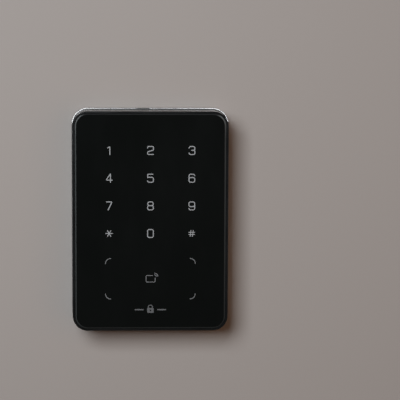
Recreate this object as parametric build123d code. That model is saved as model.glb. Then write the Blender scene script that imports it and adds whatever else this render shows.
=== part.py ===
"""Wall-mounted touch keypad and card reader, with the steel bracket that it hangs on.

Frame: the origin is on the wall, at the centre of the reader's footprint. +Z is up the wall, +Y points
into the wall and -Y out to the user. A depth is a distance out from the wall, so depth 5 is y = -5.
All sizes are in millimetres.
"""
from build123d import *
import math
import os

# Reader body
WALL_W, WALL_H, WALL_R = 87.4, 122.8, 9.4  # outline of the flange at the wall, and its corner radius
BODY_W, BODY_H, BODY_R = 85.3, 120.9, 8.3  # outline in front of the flange
RIM_DEPTH = 0.3  # the rear rim stands this far off the wall
FLANGE_DEPTH = 2.5
PARTING_DEPTH = 8.0
FRONT_DEPTH = 21.0
FLANGE_ROUNDING = 0.9
FRONT_FILLET = 0.15
PARTING_CHAMFER = 0.15
CAVITY_W, CAVITY_H, CAVITY_R = 81.0, 116.0, 6.0
FLOOR_BACK, FLOOR_FRONT = 4.0, 5.8  # depths of the rear housing's floor
GASKET_W, GASKET_H, GASKET_R = 82.9, 117.9, 7.0  # centre line of the gasket
GASKET_WIDTH, GASKET_THICKNESS = 1.1, 0.9

# Front glass, its adhesive and its ledge
LEDGE_BACK, LEDGE_FRONT = 17.05, 18.75
LEDGE_W, LEDGE_H, LEDGE_R = 75.0, 110.0, 4.0  # opening inside the ledge
GLASS_BACK, GLASS_FRONT = 19.0, 20.8
GLASS_W, GLASS_H, GLASS_R = 82.6, 118.7, 6.9
GLASS_POCKET_CLEARANCE = 0.1
GLASS_BEVEL = 0.8
PRINT_THICKNESS = 0.05

# Key layout on the glass
KEY_PITCH_X, KEY_PITCH_Z = 22.6, 15.2
KEY_TOP_Z = 39.15
KEY_ROWS = ("123", "456", "789", "*0#")
DIGIT_W, DIGIT_H, DIGIT_STROKE = 3.65, 4.9, 0.5
CARD_ZONE_Z, CARD_ZONE_W, CARD_ZONE_H = -31.55, 49.7, 22.9
BADGE_Z = -49.15

# Boards and the light shield
SHIELD_W, SHIELD_H = 58.0, 98.0
SHIELD_BACK, SHIELD_FRONT = 16.0, 18.8
TOUCH_W, TOUCH_H = 67.0, 98.0
TOUCH_BACK, TOUCH_FRONT = 14.4, 16.0
MAIN_W, MAIN_BOTTOM, MAIN_TOP = 67.0, -43.0, 49.0
MAIN_BACK, MAIN_FRONT = 10.0, 11.6
BOARD_R = 2.0
BOARD_HOLE_R = 1.15
ANTENNA_W, ANTENNA_H = 52.0, 26.0
ANTENNA_BACK, ANTENNA_FRONT = 17.9, 18.5

# Fastening points, as (x, z)
HOUSING_SCREWS = [(x, z) for x in (-35.5, 35.5) for z in (-53.0, 53.0)] + [(-37.4, 0.0), (37.4, 0.0)]
BOSS_R = 3.3
INSERT_R, INSERT_LENGTH = 2.0, 5.0
TOUCH_SCREWS = [(x, z) for x in (-31.5, 31.5) for z in (-33.0, 33.0)]
MAIN_SCREWS = [(x, z) for x in (-29.5, 29.5) for z in (-39.5, 45.0)]
M2_R, M2_HEAD_R, M2_PILOT_R = 1.0, 1.9, 1.03
M25_R, M25_HEAD_R, M25_HEAD_H = 1.25, 2.3, 1.6
COUNTERBORE_R, COUNTERBORE_DEPTH = 2.6, 1.9

# Wall bracket, pressed from steel sheet
SHEET = 1.2
BRACKET_W, BRACKET_H, BRACKET_R = 74.0, 102.0, 5.0
LIFT = 5.0  # how far the reader slides up to come off the hooks
HOOKS = [(x, z) for x in (-22.0, 22.0) for z in (-33.0, 36.0)]  # middle of each neck, and its lower face
HOOK_W, HOOK_LIP_H, HOOK_LIP_DEPTH, HOOK_BEND = 8.0, 5.2, 6.1, 0.5
HOOK_LANCE_H = 10.5
WINDOW_W, WINDOW_BOTTOM, WINDOW_TOP = 40.0, -18.0, 20.0
BOX_SLOT_X, GANG_SLOT_Z, SLOT_R, SLOT_LENGTH = 30.15, 41.65, 2.3, 9.0
PLUG_HOLE_X, PLUG_HOLE_Z, PLUG_HOLE_R = 31.0, 45.0, 2.5

# Locking screw, which goes up through the reader's bottom edge into the bracket's tab
LOCK_DEPTH = 4.2
LOCK_R, LOCK_HEAD_R, LOCK_HEAD_H = 1.25, 2.2, 1.5
LOCK_WASHER_R, LOCK_WASHER_H = 2.3, 0.5
LOCK_COUNTERBORE_R, LOCK_COUNTERBORE_TOP = 2.6, -58.0
LOCK_TIP_Z = -47.2
TAB_W, TAB_LENGTH = 12.0, 6.7
NUT_R, NUT_H = 2.5, 2.0
LOCK_POCKET_W, LOCK_POCKET_BOTTOM, LOCK_POCKET_TOP, LOCK_POCKET_DEPTH = 16.0, -56.6, -45.5, 7.0

# Tamper plunger, held in by the wall
PLUNGER_X, PLUNGER_Z = -11.0, 28.0
PLUNGER_R, PLUNGER_TIP, PLUNGER_BORE_R, PLUNGER_BORE_BACK = 1.8, 0.1, 1.3, 4.0
PLUNGER_FLANGE_R, PLUNGER_FLANGE_BACK, PLUNGER_FLANGE_FRONT = 2.9, 8.4, 9.0
PLUNGER_HOLE_R = 1.9
SWITCH_SIDE, SWITCH_BACK, SWITCH_WALL, SWITCH_BORE_R = 8.6, 5.95, 0.6, 3.2

# Cable inlet
GROMMET_BORE_R, GROMMET_HOLE_R = 3.3, 6.0
GROMMET_FLANGE_R, GROMMET_BACK, GROMMET_FRONT = 8.0, 3.2, 7.2


# ---------------------------------------------------------------- helpers
def slab(outline, near, far):
    """An outline on the wall plane, made solid from depth near to depth far."""
    return extrude(Plane.XZ.offset(near) * outline, amount=far - near)


def disc(x, z, radius, near, far):
    return slab(Pos(x, z) * Circle(radius), near, far)


def block(x, z, width, height, near, far):
    return slab(Pos(x, z) * Rectangle(width, height), near, far)


def rounded(width, height, radius):
    return RectangleRounded(width, height, radius)


def ring_outline(width, height, radius, band):
    """A frame-shaped outline whose centre line is width by height."""
    outer = rounded(width + band, height + band, radius + band / 2)
    return outer - rounded(width - band, height - band, radius - band / 2)


def group(*shapes):
    """Several solids that belong to one node."""
    return Compound([solid for shape in shapes for solid in shape.solids()])


def copies(shape, points):
    """The same shape at each (x, z) point, as one group of separate solids."""
    return group(*[Pos(x, 0, z) * shape for x, z in points])


def key_centres():
    """(character, x, z) of each key."""
    for row, text in enumerate(KEY_ROWS):
        for column, character in enumerate(text):
            yield character, (column - 1) * KEY_PITCH_X, KEY_TOP_Z - row * KEY_PITCH_Z


def key_points():
    return [(x, z) for _, x, z in key_centres()]


def front_edges(shape):
    """The outer edges of the face that looks at the user."""
    return shape.faces().sort_by(Axis.Y)[0].outer_wire().edges()


def back_edges(shape):
    return shape.faces().sort_by(Axis.Y)[-1].outer_wire().edges()


def cross_recess(radius, depth, from_depth):
    """A cross-shaped driver recess, cut forward from the back of a screw head."""
    bar = 0.32 * radius
    outline = Rectangle(1.25 * radius, bar) + Rectangle(bar, 1.25 * radius)
    return slab(outline, from_depth, from_depth + depth)


def pan_screw(head_r, head_h, shank_r, head_back, tip):
    """A screw driven from the back, whose head starts at one depth and whose tip ends at another."""
    head = disc(0, 0, head_r, head_back, head_back + head_h)
    head = fillet(back_edges(head), 0.45 * head_h)
    shank = disc(0, 0, shank_r, head_back + head_h, tip)
    shank = chamfer(front_edges(shank), 0.35 * shank_r)
    return head + shank - cross_recess(head_r, 0.6 * head_h, head_back)


# ---------------------------------------------------------------- wall bracket
def hook():
    """A tongue bent out of the sheet, with its lip turned up, above its own lower face."""
    reach = HOOK_LIP_DEPTH + SHEET
    corners = [
        (0, 0),
        (reach, 0),
        (reach, HOOK_LIP_H),
        (HOOK_LIP_DEPTH, HOOK_LIP_H),
        (HOOK_LIP_DEPTH, SHEET),
        (0, SHEET),
    ]
    face = make_face(Polyline(*corners, close=True))
    outer_bend = [v for v in face.vertices() if v.X > reach - 0.01 and v.Y < 0.01]
    face = fillet(outer_bend, HOOK_BEND + SHEET)
    inner_bend = [v for v in face.vertices() if abs(v.X - HOOK_LIP_DEPTH) < 0.01 and v.Y < SHEET + 0.01]
    face = fillet(inner_bend, HOOK_BEND)
    tip = [v for v in face.vertices() if v.Y > HOOK_LIP_H - 0.01]
    face = fillet(tip, 0.4)
    side = Plane(origin=(HOOK_W / 2, 0, 0), x_dir=(0, -1, 0), z_dir=(-1, 0, 0))
    return extrude(side * face, amount=HOOK_W)


def bracket_tab():
    """The tab that the locking screw goes through, bent out from the plate's lower edge."""
    align = (Align.CENTER, Align.MAX, Align.MIN)
    plate = Box(TAB_W, TAB_LENGTH, SHEET, align=align)
    front_corners = plate.edges().filter_by(Axis.Z).group_by(Axis.Y)[0]
    plate = fillet(front_corners, 2.0)
    hole = Pos(0, -LOCK_DEPTH, 0) * Cylinder(LOCK_R + 0.3, 4 * SHEET)
    return Pos(0, 0, -BRACKET_H / 2) * (plate - hole)


def wall_bracket():
    outline = rounded(BRACKET_W, BRACKET_H, BRACKET_R)
    window = rounded(WINDOW_W, WINDOW_TOP - WINDOW_BOTTOM, 4.0)
    outline -= Pos(0, (WINDOW_TOP + WINDOW_BOTTOM) / 2) * window
    for side in (-1, 1):
        outline -= Pos(side * BOX_SLOT_X, 0) * SlotOverall(SLOT_LENGTH, 2 * SLOT_R)
        outline -= Pos(0, side * GANG_SLOT_Z) * SlotOverall(SLOT_LENGTH, 2 * SLOT_R, rotation=90)
        for end in (-1, 1):
            outline -= Pos(side * PLUG_HOLE_X, end * PLUG_HOLE_Z) * Circle(PLUG_HOLE_R)
    tamper_slot_w = 6.0
    tamper_slot = SlotOverall(LIFT + tamper_slot_w, tamper_slot_w, rotation=90)
    outline -= Pos(PLUNGER_X, PLUNGER_Z + LIFT / 2) * tamper_slot
    for x, neck_z in HOOKS:
        outline -= Pos(x, neck_z + SHEET + HOOK_LANCE_H / 2) * rounded(HOOK_W + 0.4, HOOK_LANCE_H, 0.6)
    bracket = slab(outline, 0, SHEET)
    for x, neck_z in HOOKS:
        bracket += Pos(x, 0, neck_z) * hook()
    return bracket + bracket_tab()


def bracket_press_nut():
    """A press nut on top of the tab, with a chamfered crown."""
    bottom = -BRACKET_H / 2 + SHEET
    nut = Cylinder(NUT_R, NUT_H, align=(Align.CENTER, Align.CENTER, Align.MIN))
    nut = chamfer(nut.edges().group_by(Axis.Z)[-1], 0.3)
    nut -= Cylinder(LOCK_R + 0.03, 4 * NUT_H)
    return Pos(0, -LOCK_DEPTH, bottom) * nut


# ---------------------------------------------------------------- rear housing
def rear_shell_outside():
    """The housing's outside: a flange at the wall, rounded off towards the body."""
    flange = slab(rounded(WALL_W, WALL_H, WALL_R), RIM_DEPTH, FLANGE_DEPTH)
    flange = fillet(front_edges(flange), FLANGE_ROUNDING)
    flange = fillet(back_edges(flange), 0.3)
    body = slab(rounded(BODY_W, BODY_H, BODY_R), RIM_DEPTH + 1, PARTING_DEPTH)
    return flange + chamfer(front_edges(body), PARTING_CHAMFER)


def hook_pocket_parts(x, neck_z):
    """A closed pocket that a hook's lip moves in: its walls, and what is cut out of them."""
    wall, side_gap, lip_gap, depth = 1.0, 0.4, 0.4, 2.2
    low, high, slot_top = -LIFT - 0.3, HOOK_LIP_H + lip_gap, SHEET + 0.1
    width = HOOK_W + 2 * side_gap
    middle, height = neck_z + (low + high) / 2, high - low
    front = FLOOR_FRONT + depth
    walls = block(x, middle, width + 2 * wall, height + 2 * wall, FLOOR_BACK, front + wall)
    cavity = block(x, middle, width, height, FLOOR_FRONT, front)
    slot = block(x, neck_z + (low + slot_top) / 2, width, slot_top - low, FLOOR_BACK, FLOOR_FRONT)
    return walls, cavity + slot


def pry_notch():
    """The half-moon notch in the top side, just in front of the flange, for prising the reader upwards."""
    x, radius, recess = -3.9, 3.8, 0.5
    upward = (Align.CENTER, Align.CENTER, Align.MIN)
    scoop = Pos(x, -FLANGE_DEPTH, BODY_H / 2 - recess) * Cylinder(radius, 2, align=upward)
    return scoop & block(x, BODY_H / 2, 3 * radius, 6, FLANGE_DEPTH, FLANGE_DEPTH + 2 * radius)


def rear_housing():
    shell = rear_shell_outside()
    shell -= slab(rounded(CAVITY_W, CAVITY_H, CAVITY_R), 0, FLOOR_BACK)
    shell -= slab(rounded(CAVITY_W, CAVITY_H, CAVITY_R), FLOOR_FRONT, PARTING_DEPTH)
    cuts = []
    for x, neck_z in HOOKS:
        walls, cut = hook_pocket_parts(x, neck_z)
        shell += walls
        cuts.append(cut)
    for x, z in HOUSING_SCREWS:
        shell += disc(x, z, BOSS_R, FLOOR_BACK, PARTING_DEPTH)
        reach = CAVITY_W / 2 + 0.5 - abs(x)
        shell += block(x + math.copysign(reach / 2, x), z, reach, 1.4, FLOOR_BACK, PARTING_DEPTH)
        cuts.append(disc(x, z, COUNTERBORE_R, FLOOR_BACK, FLOOR_BACK + COUNTERBORE_DEPTH))
        cuts.append(disc(x, z, M25_R + 0.15, FLOOR_BACK, PARTING_DEPTH))
    for x, z in MAIN_SCREWS:
        shell += disc(x, z, 2.5, FLOOR_BACK, MAIN_BACK)
        cuts.append(disc(x, z, M2_PILOT_R, MAIN_BACK - 3.8, MAIN_BACK))
    middle = (LOCK_POCKET_BOTTOM + LOCK_POCKET_TOP) / 2
    height = LOCK_POCKET_TOP - LOCK_POCKET_BOTTOM
    shell += block(0, middle - 0.6, LOCK_POCKET_W + 2.4, height + 3.6, FLOOR_BACK, PARTING_DEPTH)
    cuts.append(block(0, middle, LOCK_POCKET_W, height, 0, LOCK_POCKET_DEPTH))
    cuts.append(disc(0, 0, GROMMET_HOLE_R, FLOOR_BACK, FLOOR_FRONT))
    cuts.append(disc(PLUNGER_X, PLUNGER_Z, PLUNGER_HOLE_R, FLOOR_BACK, FLOOR_FRONT))
    upward = (Align.CENTER, Align.CENTER, Align.MAX)
    counterbore = Cylinder(LOCK_COUNTERBORE_R, 5, align=upward)
    cuts.append(Pos(0, -LOCK_DEPTH, LOCK_COUNTERBORE_TOP) * counterbore)
    cuts.append(Pos(0, -LOCK_DEPTH, LOCK_COUNTERBORE_TOP) * Cylinder(LOCK_R + 0.3, 4))
    cuts.append(housing_gasket())
    cuts.append(pry_notch())
    for cut in cuts:
        shell -= cut
    return shell


def housing_gasket():
    outline = ring_outline(GASKET_W, GASKET_H, GASKET_R, GASKET_WIDTH)
    return slab(outline, PARTING_DEPTH - GASKET_THICKNESS, PARTING_DEPTH)


def cable_grommet():
    """A rubber ring with a flange on each side of the floor."""
    body = disc(0, 0, GROMMET_FLANGE_R, GROMMET_BACK, FLOOR_BACK)
    body = fillet(back_edges(body), 0.35)
    body += disc(0, 0, GROMMET_HOLE_R, FLOOR_BACK, FLOOR_FRONT)
    inner_flange = disc(0, 0, GROMMET_FLANGE_R - 0.6, FLOOR_FRONT, GROMMET_FRONT)
    body += chamfer(front_edges(inner_flange), 0.9)
    return body - disc(0, 0, GROMMET_BORE_R, 0, FRONT_DEPTH)


def rating_label():
    return slab(Pos(0, 15.8) * rounded(32, 11, 1), FLOOR_BACK - 0.1, FLOOR_BACK)


def housing_screws():
    screw = pan_screw(M25_HEAD_R, M25_HEAD_H, M25_R, FLOOR_BACK + COUNTERBORE_DEPTH - M25_HEAD_H, 12.4)
    return copies(screw, HOUSING_SCREWS)


# ---------------------------------------------------------------- front frame and glass
def front_frame():
    frame = slab(rounded(BODY_W, BODY_H, BODY_R), PARTING_DEPTH, FRONT_DEPTH)
    frame = fillet(front_edges(frame), FRONT_FILLET)
    frame = chamfer(back_edges(frame), PARTING_CHAMFER)
    frame -= slab(rounded(CAVITY_W, CAVITY_H, CAVITY_R), PARTING_DEPTH, LEDGE_BACK)
    frame -= slab(rounded(LEDGE_W, LEDGE_H, LEDGE_R), LEDGE_BACK, LEDGE_FRONT)
    gap = GLASS_POCKET_CLEARANCE
    frame -= slab(rounded(GLASS_W + 2 * gap, GLASS_H + 2 * gap, GLASS_R + gap), LEDGE_FRONT, FRONT_DEPTH)
    inner_wall = CAVITY_W / 2 + 0.4
    for x, z in HOUSING_SCREWS:
        frame += disc(x, z, BOSS_R, PARTING_DEPTH, LEDGE_FRONT - 0.2)
        reach = inner_wall - abs(x)
        frame += block(x + math.copysign(reach / 2, x), z, reach, 1.4, PARTING_DEPTH, LEDGE_BACK)
        frame -= disc(x, z, INSERT_R, PARTING_DEPTH, PARTING_DEPTH + INSERT_LENGTH)
    for x, z in TOUCH_SCREWS:
        inner = abs(x) - 2.3
        middle = math.copysign((inner + inner_wall) / 2, x)
        frame += block(middle, z, inner_wall - inner, 7.0, LEDGE_BACK, LEDGE_FRONT)
        frame += disc(x, z, 2.3, TOUCH_FRONT, LEDGE_BACK)
        frame -= disc(x, z, M2_PILOT_R, TOUCH_FRONT, LEDGE_FRONT - 0.3)
    return frame


def threaded_inserts():
    """Brass inserts in the frame's bosses, each with a groove between two grip bands."""
    near, far = PARTING_DEPTH, PARTING_DEPTH + INSERT_LENGTH
    insert = disc(0, 0, INSERT_R, near, far)
    insert -= slab(Circle(INSERT_R + 1) - Circle(INSERT_R - 0.3), near + 2.1, near + 2.9)
    insert -= disc(0, 0, M25_R + 0.03, near, far)
    return copies(insert, HOUSING_SCREWS)


def glass_adhesive():
    outline = rounded(GLASS_W - 0.4, GLASS_H - 0.4, GLASS_R - 0.2)
    outline -= rounded(LEDGE_W + 1, LEDGE_H + 1, LEDGE_R + 0.5)
    return slab(outline, LEDGE_FRONT, GLASS_BACK)


def front_glass():
    glass = slab(rounded(GLASS_W, GLASS_H, GLASS_R), GLASS_BACK, GLASS_FRONT)
    return chamfer(front_edges(glass), GLASS_BEVEL)


# ---------------------------------------------------------------- printed legends
def stroke(points, width=DIGIT_STROKE, radius=0.95, closed=False):
    """A pen stroke of even width through the points, with rounded corners and flat ends."""
    if len(points) == 2:
        return trace(Line(*points), line_width=width)
    return trace(FilletPolyline(*points, radius=radius, close=closed), line_width=width)


def digit(character):
    """A squared digit about its own centre; the pen runs between left, right, bottom and top."""
    right, top = (DIGIT_W - DIGIT_STROKE) / 2, (DIGIT_H - DIGIT_STROKE) / 2
    left, bottom = -right, -top
    below = bottom - DIGIT_STROKE / 2
    if character == "0":
        return stroke([(left, bottom), (right, bottom), (right, top), (left, top)], closed=True)
    if character == "1":
        return stroke([(0.45, below), (0.45, top), (-0.9, 1.15)], radius=0.3)
    if character == "2":
        curve = [(left, 1.15), (left, top), (right, top), (right, 0.2), (left, -0.75), (left, bottom)]
        return stroke(curve + [(right + 0.2, bottom)], radius=0.62)
    if character == "3":
        upper = stroke([(left, 1.2), (left, top), (right, top), (right, 0.1), (-0.4, 0.1)])
        return upper + stroke([(-0.4, 0.1), (right, 0.1), (right, bottom), (left, bottom), (left, -1.2)])
    if character == "4":
        bar = stroke([(1.9, -1.05), (left - 0.1, -1.05), (0.75, top + 0.1)], radius=0.3)
        return bar + stroke([(0.75, below), (0.75, top + 0.25)])
    if character == "5":
        flag = stroke([(right - 0.1, top), (left + 0.05, top), (left + 0.05, 0.1)], radius=0.3)
        bowl = [(left + 0.05, 0.5), (right, 0.5), (right, bottom), (left, bottom), (left, -1.25)]
        return flag + stroke(bowl, radius=0.9)
    if character == "6":
        bowl = stroke([(left, bottom), (right, bottom), (right, 0.4), (left, 0.4)], closed=True)
        return bowl + stroke([(right, 1.2), (right, top), (left, top), (left, -0.9)])
    if character == "7":
        return stroke([(left - 0.1, top), (right, top), (-0.65, below)], radius=0.3)
    if character == "8":
        lower = stroke([(left, bottom), (right, bottom), (right, 0.15), (left, 0.15)], closed=True)
        upper = [(left + 0.1, 0.15), (right - 0.1, 0.15), (right - 0.1, top), (left + 0.1, top)]
        return lower + stroke(upper, closed=True)
    if character == "9":
        return Rot(0, 0, 180) * digit("6")
    if character == "*":
        arm = stroke([(-2.0, 0), (2.0, 0)], width=0.46)
        return arm + Rot(0, 0, 60) * arm + Rot(0, 0, 120) * arm
    bars = stroke([(-1.75, 0.6), (1.75, 0.6)], width=0.42) + stroke([(-1.75, -0.6), (1.75, -0.6)], width=0.42)
    for x in (-0.62, 0.62):
        bars += stroke([(x - 0.25, -1.8), (x + 0.25, 1.8)], width=0.42)
    return bars


def printed(outline):
    return slab(outline, GLASS_FRONT, GLASS_FRONT + PRINT_THICKNESS)


def legend_digits():
    return group(*[printed(Pos(x, z) * digit(character)) for character, x, z in key_centres()])


def legend_card_corners():
    """Four rounded corners that mark where the card is held."""
    arm, radius, width = 3.0, 2.8, 0.42
    corners = []
    for side in (-1, 1):
        for end in (-1, 1):
            x = side * (CARD_ZONE_W - width) / 2
            z = CARD_ZONE_Z + end * (CARD_ZONE_H - width) / 2
            path = [(x - side * arm, z), (x, z), (x, z - end * arm)]
            corners.append(printed(stroke(path, width=width, radius=radius)))
    return group(*corners)


def legend_card_icon():
    """A card outline, open at one corner, with two waves leaving that corner."""
    half_w, half_h = 2.5, 1.8
    card = [(half_w - 1.3, half_h), (-half_w, half_h), (-half_w, -half_h), (half_w, -half_h), (half_w, 0.6)]
    parts = [stroke(card, width=0.4, radius=0.7)]
    for radius in (1.0, 1.9):
        parts.append(trace(CenterArc((half_w - 0.4, half_h - 0.6), radius, 0, 90), line_width=0.42))
    return group(*[printed(Pos(0.1, CARD_ZONE_Z) * part) for part in parts])


def legend_badge():
    """A plain padlock between two dashes, which says only that this keypad is for a lock."""
    shackle = stroke([(-1.15, 1.2), (-1.15, 2.9), (1.15, 2.9), (1.15, 1.2)], width=0.5, radius=0.95)
    parts = [rounded(3.6, 2.8, 0.5) - Circle(0.45) + shackle]
    for side in (-1, 1):
        parts.append(Pos(side * 6.2, 0.4) * SlotOverall(5.0, 0.7))
    return group(*[printed(Pos(0, BADGE_Z) * part) for part in parts])


# ---------------------------------------------------------------- keypad and antenna
def diffuser_film():
    return slab(rounded(SHIELD_W, SHIELD_H, 2.0), SHIELD_FRONT, GLASS_BACK)


def light_shield():
    """A plate with a light well for each key and one opening for the antenna."""
    outline = rounded(SHIELD_W, SHIELD_H, 2.0)
    for x, z in key_points():
        outline -= Pos(x, z) * rounded(11.0, 10.0, 1.2)
    outline -= Pos(0, CARD_ZONE_Z) * rounded(ANTENNA_W + 1, ANTENNA_H + 1, 1.5)
    return slab(outline, SHIELD_BACK, SHIELD_FRONT)


def touch_board():
    outline = rounded(TOUCH_W, TOUCH_H, BOARD_R)
    for x, z in TOUCH_SCREWS:
        outline -= Pos(x, z) * Circle(BOARD_HOLE_R)
    return slab(outline, TOUCH_BACK, TOUCH_FRONT)


def touch_board_screws():
    head_h = 1.1
    screw = pan_screw(M2_HEAD_R, head_h, M2_R, TOUCH_BACK - head_h, LEDGE_FRONT - 0.5)
    return copies(screw, TOUCH_SCREWS)


def coil_spring(radius, wire, turns, near, far):
    """A wire coil about the depth axis, between the depths near and far."""
    height = far - near - wire
    path = Helix(pitch=height / turns, height=height, radius=radius)
    section = Plane(origin=path @ 0, z_dir=path % 0) * Circle(wire / 2)
    coil = sweep(section, path=path)
    return Rot(90, 0, 0) * Pos(0, 0, near + wire / 2) * coil


def touch_springs():
    return copies(coil_spring(3.6, 0.4, 3.0, TOUCH_FRONT, SHIELD_FRONT), key_points())


def key_lamps():
    lamp = block(0, 0, 2.8, 1.6, TOUCH_FRONT, TOUCH_FRONT + 0.6)
    lamp += block(0, 0, 1.9, 1.2, TOUCH_FRONT + 0.6, TOUCH_FRONT + 0.9)
    return copies(lamp, key_points())


def ferrite_sheet():
    return slab(Pos(0, CARD_ZONE_Z) * rounded(ANTENNA_W, ANTENNA_H, 1.0), TOUCH_FRONT, TOUCH_FRONT + 0.3)


def antenna_foam_pad():
    outline = Pos(0, CARD_ZONE_Z) * rounded(ANTENNA_W - 4, ANTENNA_H - 4, 1.0)
    return slab(outline, TOUCH_FRONT + 0.3, ANTENNA_BACK)


def antenna_board():
    return slab(Pos(0, CARD_ZONE_Z) * rounded(ANTENNA_W, ANTENNA_H, 1.0), ANTENNA_BACK, ANTENNA_FRONT)


def antenna_tracks():
    """A flat copper spiral of rectangular turns."""
    turns, pitch, track = 4, 1.3, 0.7
    points = []
    for turn in range(turns):
        x = ANTENNA_W / 2 - 1.2 - turn * pitch
        z = ANTENNA_H / 2 - 1.2 - turn * pitch
        start = -x if turn == 0 else -x - pitch
        points += [(start, z), (x, z), (x, -z), (-x, -z)]
    spiral = trace(Polyline(*points), line_width=track)
    return slab(Pos(0, CARD_ZONE_Z) * spiral, ANTENNA_FRONT, ANTENNA_FRONT + 0.05)


# ---------------------------------------------------------------- electronics
CHIPS = [(-13.0, 14.0, 10.0, 1.2), (-3.0, -14.0, 7.0, 1.0), (10.0, -30.0, 6.0, 1.0)]  # x, z, side, height


def main_board():
    outline = Pos(0, (MAIN_TOP + MAIN_BOTTOM) / 2) * rounded(MAIN_W, MAIN_TOP - MAIN_BOTTOM, BOARD_R)
    for x, z in MAIN_SCREWS:
        outline -= Pos(x, z) * Circle(BOARD_HOLE_R)
    return slab(outline, MAIN_BACK, MAIN_FRONT)


def main_board_screws():
    """Screws driven from the front into the rear housing's bosses."""
    head_h = 1.1
    screw = pan_screw(M2_HEAD_R, head_h, M2_R, -MAIN_FRONT - head_h, -MAIN_BACK + 3.6)
    turned = Rot(0, 0, 180) * screw
    return copies(turned, MAIN_SCREWS)


def board_chips():
    return group(*[
        block(x, z, side, side, MAIN_FRONT + 0.1, MAIN_FRONT + 0.1 + height) for x, z, side, height in CHIPS
    ])


def chip_leads():
    """Rows of leads along all four sides of each chip."""
    leads = []
    for x, z, side, _ in CHIPS:
        for step in range(int(side) - 1):
            along = (step - (int(side) - 2) / 2) * 1.0
            for out in (-1, 1):
                reach = out * (side / 2 + 0.45)
                leads.append(block(x + reach, z + along, 0.9, 0.4, MAIN_FRONT, MAIN_FRONT + 0.3))
                leads.append(block(x + along, z + reach, 0.4, 0.9, MAIN_FRONT, MAIN_FRONT + 0.3))
    return group(*leads)


def crystal_can():
    can = slab(Pos(-13.0, 2.5) * rounded(5.0, 3.2, 0.6), MAIN_FRONT, MAIN_FRONT + 1.0)
    return fillet(front_edges(can), 0.2)


def capacitors():
    """Two surface-mounted cans on the back of the board, each on its base."""
    can = disc(0, 0, 3.1, MAIN_BACK - 3.7, MAIN_BACK - 0.6)
    can = fillet(back_edges(can), 0.4)
    can += block(0, 0, 6.6, 6.6, MAIN_BACK - 0.6, MAIN_BACK)
    return copies(can, [(4.0, 33.0), (12.0, 33.0)])


def buzzer():
    x, z, radius, height = 19.0, 10.0, 6.3, 2.3
    body = disc(x, z, radius, MAIN_FRONT, MAIN_FRONT + height)
    body = fillet(front_edges(body), 0.4)
    return body - disc(x, z, 1.2, MAIN_FRONT + 1.2, MAIN_FRONT + height)


def board_link_socket():
    x, z = 0.0, 41.0
    body = block(x, z, 20.0, 4.6, MAIN_FRONT, MAIN_FRONT + 2.0)
    return body - block(x, z, 18.8, 3.0, MAIN_FRONT + 0.4, MAIN_FRONT + 2.0)


def board_link_plug():
    x, z = 0.0, 41.0
    base = block(x, z, 20.0, 4.0, TOUCH_BACK - 0.7, TOUCH_BACK)
    return base + block(x, z, 18.2, 2.4, MAIN_FRONT + 0.6, TOUCH_BACK - 0.7)


HEADER_X, HEADER_Z, HEADER_W, HEADER_H, HEADER_WAYS = 0.0, -24.0, 22.5, 6.4, 8


def wire_header():
    """The open-backed connector that the wall cable's plug goes into."""
    near = MAIN_BACK - 3.9
    body = block(HEADER_X, HEADER_Z, HEADER_W, HEADER_H, near, MAIN_BACK)
    body -= block(HEADER_X, HEADER_Z, HEADER_W - 1.6, HEADER_H - 1.6, near, MAIN_BACK - 0.8)
    return body - header_pins()


def header_pins():
    pins = []
    for way in range(HEADER_WAYS):
        x = HEADER_X + (way - (HEADER_WAYS - 1) / 2) * 2.5
        pins.append(block(x, HEADER_Z, 0.64, 0.64, MAIN_BACK - 3.4, MAIN_BACK))
    return group(*pins)


# ---------------------------------------------------------------- tamper switch
def tamper_switch_body():
    body = block(PLUNGER_X, PLUNGER_Z, SWITCH_SIDE, SWITCH_SIDE, SWITCH_BACK, MAIN_BACK)
    body -= disc(PLUNGER_X, PLUNGER_Z, SWITCH_BORE_R, SWITCH_BACK + SWITCH_WALL, MAIN_BACK)
    return body - disc(PLUNGER_X, PLUNGER_Z, PLUNGER_HOLE_R, SWITCH_BACK, MAIN_BACK)


def tamper_plunger():
    """A hollow pin with a domed end at the wall and a flange that stops it in the switch."""
    pin = disc(0, 0, PLUNGER_R, PLUNGER_TIP, PLUNGER_FLANGE_FRONT)
    pin = fillet(back_edges(pin), 0.6)
    pin += disc(0, 0, PLUNGER_FLANGE_R, PLUNGER_FLANGE_BACK, PLUNGER_FLANGE_FRONT)
    pin -= disc(0, 0, PLUNGER_BORE_R, PLUNGER_BORE_BACK, PLUNGER_FLANGE_FRONT)
    return Pos(PLUNGER_X, 0, PLUNGER_Z) * pin


def tamper_spring():
    spring = coil_spring(0.85, 0.3, 7.0, PLUNGER_BORE_BACK, MAIN_BACK)
    return Pos(PLUNGER_X, 0, PLUNGER_Z) * spring


# ---------------------------------------------------------------- locking screw
def lock_screw():
    """A security screw: its socket has a pin in the middle."""
    upward = (Align.CENTER, Align.CENTER, Align.MIN)
    head_top = LOCK_COUNTERBORE_TOP - LOCK_WASHER_H
    head = Cylinder(LOCK_HEAD_R, LOCK_HEAD_H, align=upward)
    head = chamfer(head.edges().group_by(Axis.Z)[0], 0.3)
    socket = extrude(RegularPolygon(1.3, 6) - Circle(0.4), amount=1.2)
    shank = Cylinder(LOCK_R, LOCK_TIP_Z - head_top, align=upward)
    shank = chamfer(shank.edges().group_by(Axis.Z)[-1], 0.4)
    screw = Pos(0, 0, -LOCK_HEAD_H) * (head - socket) + shank
    return Pos(0, -LOCK_DEPTH, head_top) * screw


def lock_washer():
    upward = (Align.CENTER, Align.CENTER, Align.MAX)
    washer = Cylinder(LOCK_WASHER_R, LOCK_WASHER_H, align=upward)
    washer -= Cylinder(LOCK_R + 0.05, 4 * LOCK_WASHER_H)
    return Pos(0, -LOCK_DEPTH, LOCK_COUNTERBORE_TOP) * washer


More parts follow.
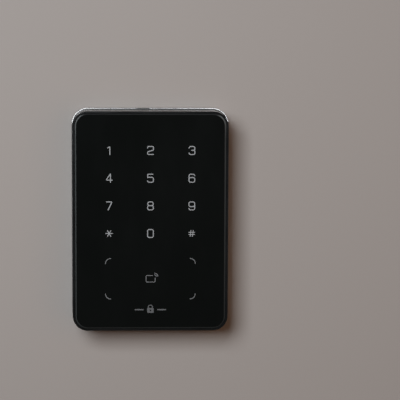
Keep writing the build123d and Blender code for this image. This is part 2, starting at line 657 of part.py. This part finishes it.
NODES = [
    wall_bracket,
    bracket_press_nut,
    lock_screw,
    lock_washer,
    rear_housing,
    front_frame,
    housing_gasket,
    threaded_inserts,
    housing_screws,
    cable_grommet,
    rating_label,
    front_glass,
    glass_adhesive,
    legend_digits,
    legend_card_corners,
    legend_card_icon,
    legend_badge,
    diffuser_film,
    light_shield,
    touch_board,
    touch_board_screws,
    touch_springs,
    key_lamps,
    antenna_board,
    antenna_tracks,
    antenna_foam_pad,
    ferrite_sheet,
    main_board,
    main_board_screws,
    board_chips,
    chip_leads,
    crystal_can,
    capacitors,
    buzzer,
    board_link_socket,
    board_link_plug,
    wire_header,
    header_pins,
    tamper_switch_body,
    tamper_plunger,
    tamper_spring,
]

os.makedirs("parts", exist_ok=True)
for node in NODES:
    export_step(node(), f"parts/{node.__name__}.step")
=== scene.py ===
import math

import bpy
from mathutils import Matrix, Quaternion, Vector


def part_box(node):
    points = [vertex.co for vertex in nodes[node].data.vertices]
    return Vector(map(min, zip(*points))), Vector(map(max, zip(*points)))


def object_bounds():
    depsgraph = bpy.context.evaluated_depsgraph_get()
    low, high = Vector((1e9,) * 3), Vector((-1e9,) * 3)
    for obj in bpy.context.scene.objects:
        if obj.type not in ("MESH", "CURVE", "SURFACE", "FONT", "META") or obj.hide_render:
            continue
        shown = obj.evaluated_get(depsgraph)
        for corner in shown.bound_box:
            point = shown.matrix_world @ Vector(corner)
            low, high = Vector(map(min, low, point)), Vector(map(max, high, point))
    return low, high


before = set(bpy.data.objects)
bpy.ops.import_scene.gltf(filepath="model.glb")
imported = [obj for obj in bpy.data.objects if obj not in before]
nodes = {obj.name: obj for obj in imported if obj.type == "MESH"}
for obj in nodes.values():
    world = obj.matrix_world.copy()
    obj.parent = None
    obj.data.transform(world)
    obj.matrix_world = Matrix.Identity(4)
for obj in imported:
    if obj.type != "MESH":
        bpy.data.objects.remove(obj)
cad_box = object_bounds()
scene = bpy.context.scene
FRONT = cad_box[0].y  # the foremost edge: the frame's rim

# ---------------------------------------------------------------- material helpers


def srgb(red, green, blue):
    """A colour given as 0-255 display values, as the linear colour that a shader takes."""

    def linear(value):
        value /= 255
        return value / 12.92 if value <= 0.04045 else ((value + 0.055) / 1.055) ** 2.4

    return (linear(red), linear(green), linear(blue), 1.0)


def scaled(colour, factor):
    """The same colour, darker or lighter."""
    return tuple(channel * factor for channel in colour[:3]) + (1.0,)


class Material:
    """A Principled material with shortcuts for the nodes used here. Places are metres in the CAD's frame."""

    def __init__(self, name, colour, roughness, metallic=0.0, specular=0.5):
        self.material = bpy.data.materials.new(name)
        self.material.use_nodes = True
        self.tree = self.material.node_tree
        self.shader = self.tree.nodes["Principled BSDF"]
        self.shader.inputs["Base Color"].default_value = colour
        self.shader.inputs["Roughness"].default_value = roughness
        self.shader.inputs["Metallic"].default_value = metallic
        self.shader.inputs["Specular IOR Level"].default_value = specular
        self.shader.inputs["IOR"].default_value = 1.5
        self.place = self.node("ShaderNodeTexCoord").outputs["Object"]

    def node(self, kind, **settings):
        node = self.tree.nodes.new(kind)
        for name, value in settings.items():
            setattr(node, name, value)
        return node

    def link(self, source, target):
        self.tree.links.new(source, target)

    def feed(self, target, value):
        """Sets an input to a number or a colour, or links another node's output to it."""
        if isinstance(value, bpy.types.NodeSocket):
            self.link(value, target)
        else:
            target.default_value = value

    def axis(self, name):
        split = self.node("ShaderNodeSeparateXYZ")
        self.link(self.place, split.inputs["Vector"])
        return split.outputs[name]

    def noise(self, scale, detail=3.0, stretch=(1, 1, 1), rough=0.5):
        mapping = self.node("ShaderNodeMapping")
        mapping.inputs["Scale"].default_value = stretch
        self.link(self.place, mapping.inputs["Vector"])
        noise = self.node("ShaderNodeTexNoise")
        noise.inputs["Scale"].default_value = scale
        noise.inputs["Detail"].default_value = detail
        noise.inputs["Roughness"].default_value = rough
        self.link(mapping.outputs["Vector"], noise.inputs["Vector"])
        return noise.outputs["Fac"]

    def ramp(self, value, low, high, start=0.0, end=1.0):
        """value between low and high, mapped to start and end, and held outside them."""
        node = self.node("ShaderNodeMapRange", clamp=True)
        self.link(value, node.inputs["Value"])
        node.inputs["From Min"].default_value = low
        node.inputs["From Max"].default_value = high
        node.inputs["To Min"].default_value = start
        node.inputs["To Max"].default_value = end
        return node.outputs["Result"]

    def spread(self, noise, start=0.0, end=1.0):
        """A noise, mapped from its usual range to start and end."""
        return self.ramp(noise, 0.3, 0.7, start, end)

    def above(self, value, edge, soft):
        """1 where value is above edge, 0 where it is below, turning over soft on each side of it."""
        return self.ramp(value, edge - soft, edge + soft)

    def below(self, value, edge, soft):
        """The opposite of above."""
        return self.ramp(value, edge - soft, edge + soft, 1.0, 0.0)

    def math(self, operation, *values):
        node = self.node("ShaderNodeMath", operation=operation)
        for target, value in zip(node.inputs, values):
            self.feed(target, value)
        return node.outputs["Value"]

    def mix(self, factor, first, second, kind="Color"):
        """first where factor is 0 and second where it is 1; kind is Color or Float."""
        node = self.node("ShaderNodeMix", data_type={"Color": "RGBA", "Float": "FLOAT"}[kind])
        inputs = {socket.identifier: socket for socket in node.inputs}
        outputs = {socket.identifier: socket for socket in node.outputs}
        self.feed(inputs["Factor_Float"], factor)
        self.feed(inputs["A_" + kind], first)
        self.feed(inputs["B_" + kind], second)
        return outputs["Result_" + kind]

    def colour(self, value):
        self.link(value, self.shader.inputs["Base Color"])

    def roughness(self, value):
        self.link(value, self.shader.inputs["Roughness"])

    def bump(self, value, distance):
        node = self.node("ShaderNodeBump")
        node.inputs["Distance"].default_value = distance
        node.inputs["Strength"].default_value = 1.0
        self.link(value, node.inputs["Height"])
        self.link(node.outputs["Normal"], self.shader.inputs["Normal"])


def put(material, *names):
    """One material on every face of these CAD nodes."""
    for name in names:
        mesh = nodes[name].data
        if not mesh.materials:
            mesh.materials.append(material)
        for index in range(len(mesh.materials)):
            mesh.materials[index] = material


def plastic(name, colour, roughness, grain=0.00003, grain_scale=2600):
    """Moulded plastic or rubber: faintly uneven in colour and gloss, with a fine grain."""
    m = Material(name, colour, roughness)
    broad = m.noise(60)
    m.colour(m.mix(m.spread(broad), scaled(colour, 0.88), scaled(colour, 1.12)))
    m.roughness(m.spread(broad, roughness - 0.05, roughness + 0.05))
    m.bump(m.noise(grain_scale, 2.0), grain)
    return m.material


def metal(name, colour, roughness, stretch=(1, 1, 1)):
    """Bare or plated metal; stretch draws its marks out along one axis."""
    m = Material(name, colour, roughness, metallic=1.0)
    marks = m.noise(900, 3.0, stretch)
    m.colour(m.mix(m.spread(m.noise(70)), scaled(colour, 0.9), scaled(colour, 1.05)))
    m.roughness(m.spread(marks, roughness - 0.06, roughness + 0.08))
    m.bump(marks, 0.000006)
    return m.material


# ---------------------------------------------------------------- materials


def glass_material():
    """Black-printed glass: nearly black, glossy, with faint wipe marks and a ground bevel round its edge; the
    bevel's colour carries painted highlight and painted shade that change with height.
    """
    m = Material("black_glass", srgb(10, 12, 11), 0.08)
    wipe = m.noise(28, 4.0, (1.0, 1.0, 0.45), 0.6)
    dust = m.noise(1500, 1.0)
    marks = m.math("ADD", m.ramp(wipe, 0.45, 0.75, 0.0, 0.07), m.ramp(dust, 0.72, 0.8, 0.0, 0.05))
    face_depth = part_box("front_glass")[0].y
    bevel = m.above(m.axis("Y"), face_depth + 0.00003, 0.00001)
    m.roughness(m.mix(bevel, m.math("ADD", marks, 0.07), 0.5, "Float"))

    # The bevel's painted light from the bottom up: painted highlight that grows lighter up the sides and at
    # the upper corners, then painted shade along the top edge. It turns into each tone between two heights.
    height = m.axis("Z")
    shade = srgb(62, 65, 64)
    for start, end, painted_tone in (
        (-0.055, 0.03, srgb(88, 91, 90)),
        (0.046, 0.055, srgb(118, 121, 120)),
        (0.0578, 0.0586, srgb(42, 43, 43)),
    ):
        shade = m.mix(m.ramp(height, start, end), shade, painted_tone)
    face = m.mix(m.ramp(wipe, 0.4, 0.8), srgb(17, 19, 18), srgb(21, 23, 22))
    # shade holds the bevel's painted highlight and painted shade, set by height
    m.colour(m.mix(bevel, face, shade))
    return m.material


def frame_material():
    """Dark satin plastic with a fine moulded grain."""
    m = Material("satin_frame", srgb(22, 23, 23), 0.2)
    broad = m.noise(60)
    m.colour(m.mix(m.spread(broad), srgb(22, 23, 23), srgb(29, 30, 30)))
    m.roughness(m.spread(broad, 0.17, 0.24))
    m.bump(m.noise(2200, 2.0), 0.000004)
    return m.material


def metal_edge(m):
    """1 on the outer rounding of the housing's flange, and 0 elsewhere and beside the pry notch."""
    rounding, corner_cut = 0.0022, 0.0079  # how far in from the outline it reaches, and across a corner
    front_depth, back_depth = -0.00233, -0.00155
    notch_x, notch_half_width = -0.0039, 0.0035
    half_width, _, half_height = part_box("rear_housing")[1]

    across = m.math("ABSOLUTE", m.axis("X"))
    up = m.math("ABSOLUTE", m.axis("Z"))
    at_sides = m.above(across, half_width - rounding, 0.0001)
    at_ends = m.above(up, half_height - rounding, 0.0001)
    at_corners = m.above(m.math("ADD", across, up), half_width + half_height - corner_cut, 0.0001)
    outside = m.math("MAXIMUM", m.math("MAXIMUM", at_sides, at_ends), at_corners)

    depth = m.axis("Y")
    band = m.math("MULTIPLY", m.above(depth, front_depth, 0.00003), m.below(depth, back_depth, 0.00005))

    from_notch = m.math("ABSOLUTE", m.math("SUBTRACT", m.axis("X"), notch_x))
    lower_half = m.ramp(m.axis("Z"), 0.0, 0.01, 1.0, 0.0)
    clear_of_notch = m.math("MAXIMUM", m.above(from_notch, notch_half_width, 0.0005), lower_half)
    return m.math("MULTIPLY", m.math("MULTIPLY", outside, band), clear_of_notch)


def housing_material():
    """Dark moulded plastic, with a polished metal edge on the flange's outer rounding."""
    m = Material("dark_housing", srgb(24, 24, 24), 0.36)
    broad = m.noise(60)
    edge = metal_edge(m)
    plain = m.mix(m.spread(broad), srgb(17, 17, 17), srgb(22, 22, 22))
    m.colour(m.mix(edge, plain, srgb(150, 151, 153)))
    m.link(edge, m.shader.inputs["Metallic"])
    m.roughness(m.math("SUBTRACT", m.spread(broad, 0.32, 0.4), m.math("MULTIPLY", edge, 0.16)))
    m.bump(m.math("MULTIPLY", m.noise(2200, 2.0), m.math("SUBTRACT", 1.0, edge)), 0.000004)
    return m.material


def bracket_material():
    """Zinc-plated sheet, with faint spangle and the marks of the rolling."""
    m = Material("zinc_plate", srgb(192, 195, 199), 0.36, metallic=1.0)
    rolled = m.noise(900, 3.0, (1, 1, 10))
    spangle = m.node("ShaderNodeTexVoronoi")
    spangle.inputs["Scale"].default_value = 300
    m.link(m.place, spangle.inputs["Vector"])
    shade = m.node("ShaderNodeSeparateColor")
    m.link(spangle.outputs["Color"], shade.inputs["Color"])
    grain = shade.outputs["Red"]
    m.colour(m.mix(grain, srgb(186, 189, 193), srgb(198, 200, 203)))
    m.roughness(m.math("ADD", m.spread(rolled, 0.26, 0.36), m.math("MULTIPLY", grain, 0.04)))
    m.bump(rolled, 0.000005)
    return m.material


def print_material(name, colour):
    """Screen-printed ink, with the slight mottle of a thin ink layer."""
    m = Material(name, colour, 0.5)
    mottle = m.noise(1800, 2.0)
    m.colour(m.mix(m.spread(mottle), scaled(colour, 0.88), scaled(colour, 1.06)))
    m.bump(mottle, 0.000008)
    return m.material


def board_material():
    """Green solder mask with its tracks showing faintly through it."""
    m = Material("green_board", srgb(24, 84, 48), 0.35)
    mapping = m.node("ShaderNodeMapping")
    mapping.inputs["Rotation"].default_value = (math.radians(90), 0, 0)
    m.link(m.place, mapping.inputs["Vector"])
    tracks = m.node("ShaderNodeTexBrick")
    m.link(mapping.outputs["Vector"], tracks.inputs["Vector"])
    tracks.inputs["Scale"].default_value = 260
    tracks.inputs["Mortar Size"].default_value = 0.06
    tracks.inputs["Color1"].default_value = srgb(22, 80, 44)
    tracks.inputs["Color2"].default_value = srgb(20, 72, 40)
    tracks.inputs["Mortar"].default_value = srgb(40, 112, 62)
    m.colour(tracks.outputs["Color"])
    m.bump(tracks.outputs["Fac"], 0.00002)
    return m.material


def label_material():
    """A blank silver-grey polyester label."""
    m = Material("blank_label", srgb(176, 178, 180), 0.42, metallic=0.3)
    fibre = m.noise(700, 3.0, (1, 1, 6))
    m.colour(m.mix(fibre, srgb(166, 168, 170), srgb(188, 190, 192)))
    m.roughness(m.spread(fibre, 0.36, 0.5))
    m.bump(fibre, 0.000005)
    return m.material


# The outside and the print
put(glass_material(), "front_glass")
put(frame_material(), "front_frame")
put(housing_material(), "rear_housing")
put(label_material(), "rating_label")
put(print_material("grey_print", srgb(176, 179, 180)), "legend_digits")
put(print_material("dim_print", srgb(128, 130, 131)), "legend_card_corners", "legend_card_icon")
put(print_material("faint_print", srgb(104, 106, 107)), "legend_badge")

# Metals
tinned = metal("tinned", srgb(205, 204, 198), 0.28)
plated_screw = metal("plated_screw", srgb(176, 176, 174), 0.3)
put(bracket_material(), "wall_bracket")
put(metal("plated_nut", srgb(180, 182, 184), 0.3), "bracket_press_nut")
put(metal("black_screw", srgb(74, 74, 76), 0.36), "lock_screw")
put(metal("plated_washer", srgb(170, 172, 174), 0.3), "lock_washer")
put(plated_screw, "housing_screws", "touch_board_screws", "main_board_screws")
put(metal("brass", srgb(214, 178, 104), 0.3), "threaded_inserts")
put(metal("copper", srgb(206, 132, 88), 0.32), "antenna_tracks")
put(metal("can_sleeve", srgb(196, 197, 200), 0.32, (1, 14, 1)), "capacitors")
put(tinned, "touch_springs", "chip_leads", "header_pins", "tamper_spring", "crystal_can")

# Plastics, rubbers and boards
rubber = plastic("rubber", srgb(24, 24, 25), 0.75, 0.00004, 1800)
moulded_black = plastic("moulded_black", srgb(30, 30, 31), 0.5)
put(rubber, "housing_gasket", "cable_grommet", "antenna_foam_pad", "glass_adhesive")
put(moulded_black, "board_chips", "buzzer", "board_link_socket", "tamper_switch_body")
put(plastic("milky_film", srgb(222, 222, 220), 0.5, 0.00001), "diffuser_film")
put(plastic("white_plastic", srgb(226, 225, 218), 0.42, 0.00002), "light_shield", "tamper_plunger")
put(plastic("lamp_body", srgb(232, 226, 190), 0.4, 0.00001), "key_lamps")
put(plastic("connector", srgb(214, 208, 186), 0.45, 0.00002), "wire_header", "board_link_plug")
put(plastic("ferrite", srgb(62, 61, 60), 0.7), "ferrite_sheet")
put(board_material(), "touch_board", "main_board", "antenna_board")

# ---------------------------------------------------------------- wall


def make_wall():
    """The wall behind the object. It can be seen from its front side only, so views from behind stay open."""
    size, gap = 4.0, 0.0001  # the gap keeps the wall clear of the bracket's back face
    corners = [(-size, gap, -size), (size, gap, -size), (size, gap, size), (-size, gap, size)]
    mesh = bpy.data.meshes.new("wall")
    mesh.from_pydata(corners, [], [(0, 1, 2, 3)])
    wall = bpy.data.objects.new("wall", mesh)
    scene.collection.objects.link(wall)
    m = Material("wall_paint", (0.5, 0.457, 0.424, 1), 0.9, specular=0.1)
    m.bump(m.noise(900), 0.00004)
    side = m.node("ShaderNodeNewGeometry")
    clear = m.node("ShaderNodeBsdfTransparent")
    either = m.node("ShaderNodeMixShader")
    m.link(side.outputs["Backfacing"], either.inputs["Fac"])
    m.link(m.shader.outputs["BSDF"], either.inputs[1])
    m.link(clear.outputs["BSDF"], either.inputs[2])
    m.link(either.outputs["Shader"], m.tree.nodes["Material Output"].inputs["Surface"])
    mesh.materials.append(m.material)
    wall.visible_shadow = False


make_wall()

# ---------------------------------------------------------------- lights and world

CENTRE = (0.0, -0.01, 0.0)
DAYLIGHT = (0.9, 0.955, 1.01)
LAMPLIGHT = (1.0, 0.55, 0.32)


def area_light(name, place, target, size, power, colour=(1, 1, 1)):
    """A rectangular lamp; size is (width, height)."""
    light = bpy.data.lights.new(name, "AREA")
    light.shape = "RECTANGLE"
    light.size, light.size_y = size
    light.energy = power
    light.color = colour
    lamp = bpy.data.objects.new(name, light)
    lamp.location = place
    lamp.rotation_euler = (Vector(target) - Vector(place)).to_track_quat("-Z", "Y").to_euler()
    scene.collection.objects.link(lamp)
    return lamp


def lights_only(lamp, *names):
    """This lamp lights only these CAD nodes."""
    group = bpy.data.collections.new(lamp.name + "_receivers")
    for name in names:
        group.objects.link(nodes[name])
    lamp.light_linking.receiver_collection = group


def light_room():
    """The daylight that casts the shadow, a warm fill that tints it, and two lamps behind the object."""
    area_light("key", (-0.31, -0.92, 0.36), CENTRE, (0.5, 0.5), 7.5, DAYLIGHT)
    warm = area_light("warm_fill", (0.75, -1.3, 0.0), CENTRE, (1.4, 1.4), 3.0, LAMPLIGHT)
    warm.visible_glossy = False
    area_light("back_left", (-0.9, 1.1, 0.6), CENTRE, (0.9, 0.9), 14)
    area_light("back_right", (0.9, 1.2, 0.3), CENTRE, (0.9, 0.9), 10)


def light_edge():
    """Lamps above and beside the object that draw the bright line on the flange's metal edge."""
    overhead_y = -0.38
    rims = [area_light("rim_overhead", (0, overhead_y, 0.9), (0, overhead_y, 0), (0.1, 0.76), 0.32)]
    for side in (-1, 1):
        x, y, z = side * 0.52, -0.15, 0.7
        rims.append(area_light(f"rim_above_{side}", (x, y, z), (x, y, 0), (0.95, 0.3), 9))
        x, y, z = side * 0.95, -0.08, 0.39
        rims.append(area_light(f"rim_beside_{side}", (x, y, z), (0, y, z), (0.24, 0.62), 7))
    for lamp in rims:
        lights_only(lamp, "rear_housing")


def light_gloss():
    """Soft lamps that are seen only as reflections in the glass and on the frame."""
    sheens = [area_light("glass_sheen", (-0.95, -0.62, -0.5), CENTRE, (0.5, 1.0), 1.0)]
    for side in (-1, 1):
        sheens.append(area_light(f"side_sheen_{side}", (side * 1.2, -0.3, 0.1), CENTRE, (0.8, 0.8), 1.3))
    for lamp in sheens:
        lamp.visible_diffuse = False
        lights_only(lamp, "front_frame", "front_glass")


def make_world():
    """A pale backdrop for the camera, and a dim even light for everything else."""
    world = bpy.data.worlds.new("studio")
    scene.world = world
    world.use_nodes = True
    tree = world.node_tree
    background = tree.nodes["Background"]
    background.inputs["Color"].default_value = (0.62, 0.64, 0.66, 1)
    rays = tree.nodes.new("ShaderNodeLightPath")
    strength = tree.nodes.new("ShaderNodeMapRange")
    strength.inputs["To Min"].default_value = 0.02
    strength.inputs["To Max"].default_value = 0.9
    tree.links.new(rays.outputs["Is Camera Ray"], strength.inputs["Value"])
    tree.links.new(strength.outputs["Result"], background.inputs["Strength"])


light_room()
light_edge()
light_gloss()
make_world()

# ---------------------------------------------------------------- camera

DISTANCE = 0.9  # from the middle of the object's front
AZIMUTH, ELEVATION, ROLL = -0.5, 7.0, 0.245  # degrees
AIM = Vector((0.02708, FRONT, 0.01201))  # the point in the middle of the picture
VIEW_WIDTH = 0.21888  # how wide a stretch the picture shows at that point
SENSOR = 36  # mm


def make_camera():
    azimuth, elevation = math.radians(AZIMUTH), math.radians(ELEVATION)
    offset = Vector((
        math.sin(azimuth) * math.cos(elevation),
        -math.cos(azimuth) * math.cos(elevation),
        math.sin(elevation),
    ))
    camera = bpy.data.objects.new("camera", bpy.data.cameras.new("camera"))
    camera.location = Vector((0, FRONT, 0)) + DISTANCE * offset
    sight = AIM - camera.location
    roll = Quaternion((0, 0, 1), math.radians(ROLL))
    camera.rotation_euler = (sight.to_track_quat("-Z", "Y") @ roll).to_euler()
    camera.data.sensor_width = SENSOR
    camera.data.lens = SENSOR * sight.length / VIEW_WIDTH
    camera.data.clip_start = 0.01
    camera.data.clip_end = 50
    scene.collection.objects.link(camera)
    scene.camera = camera


make_camera()
scene.view_settings.view_transform = "Standard"
scene.view_settings.look = "None"
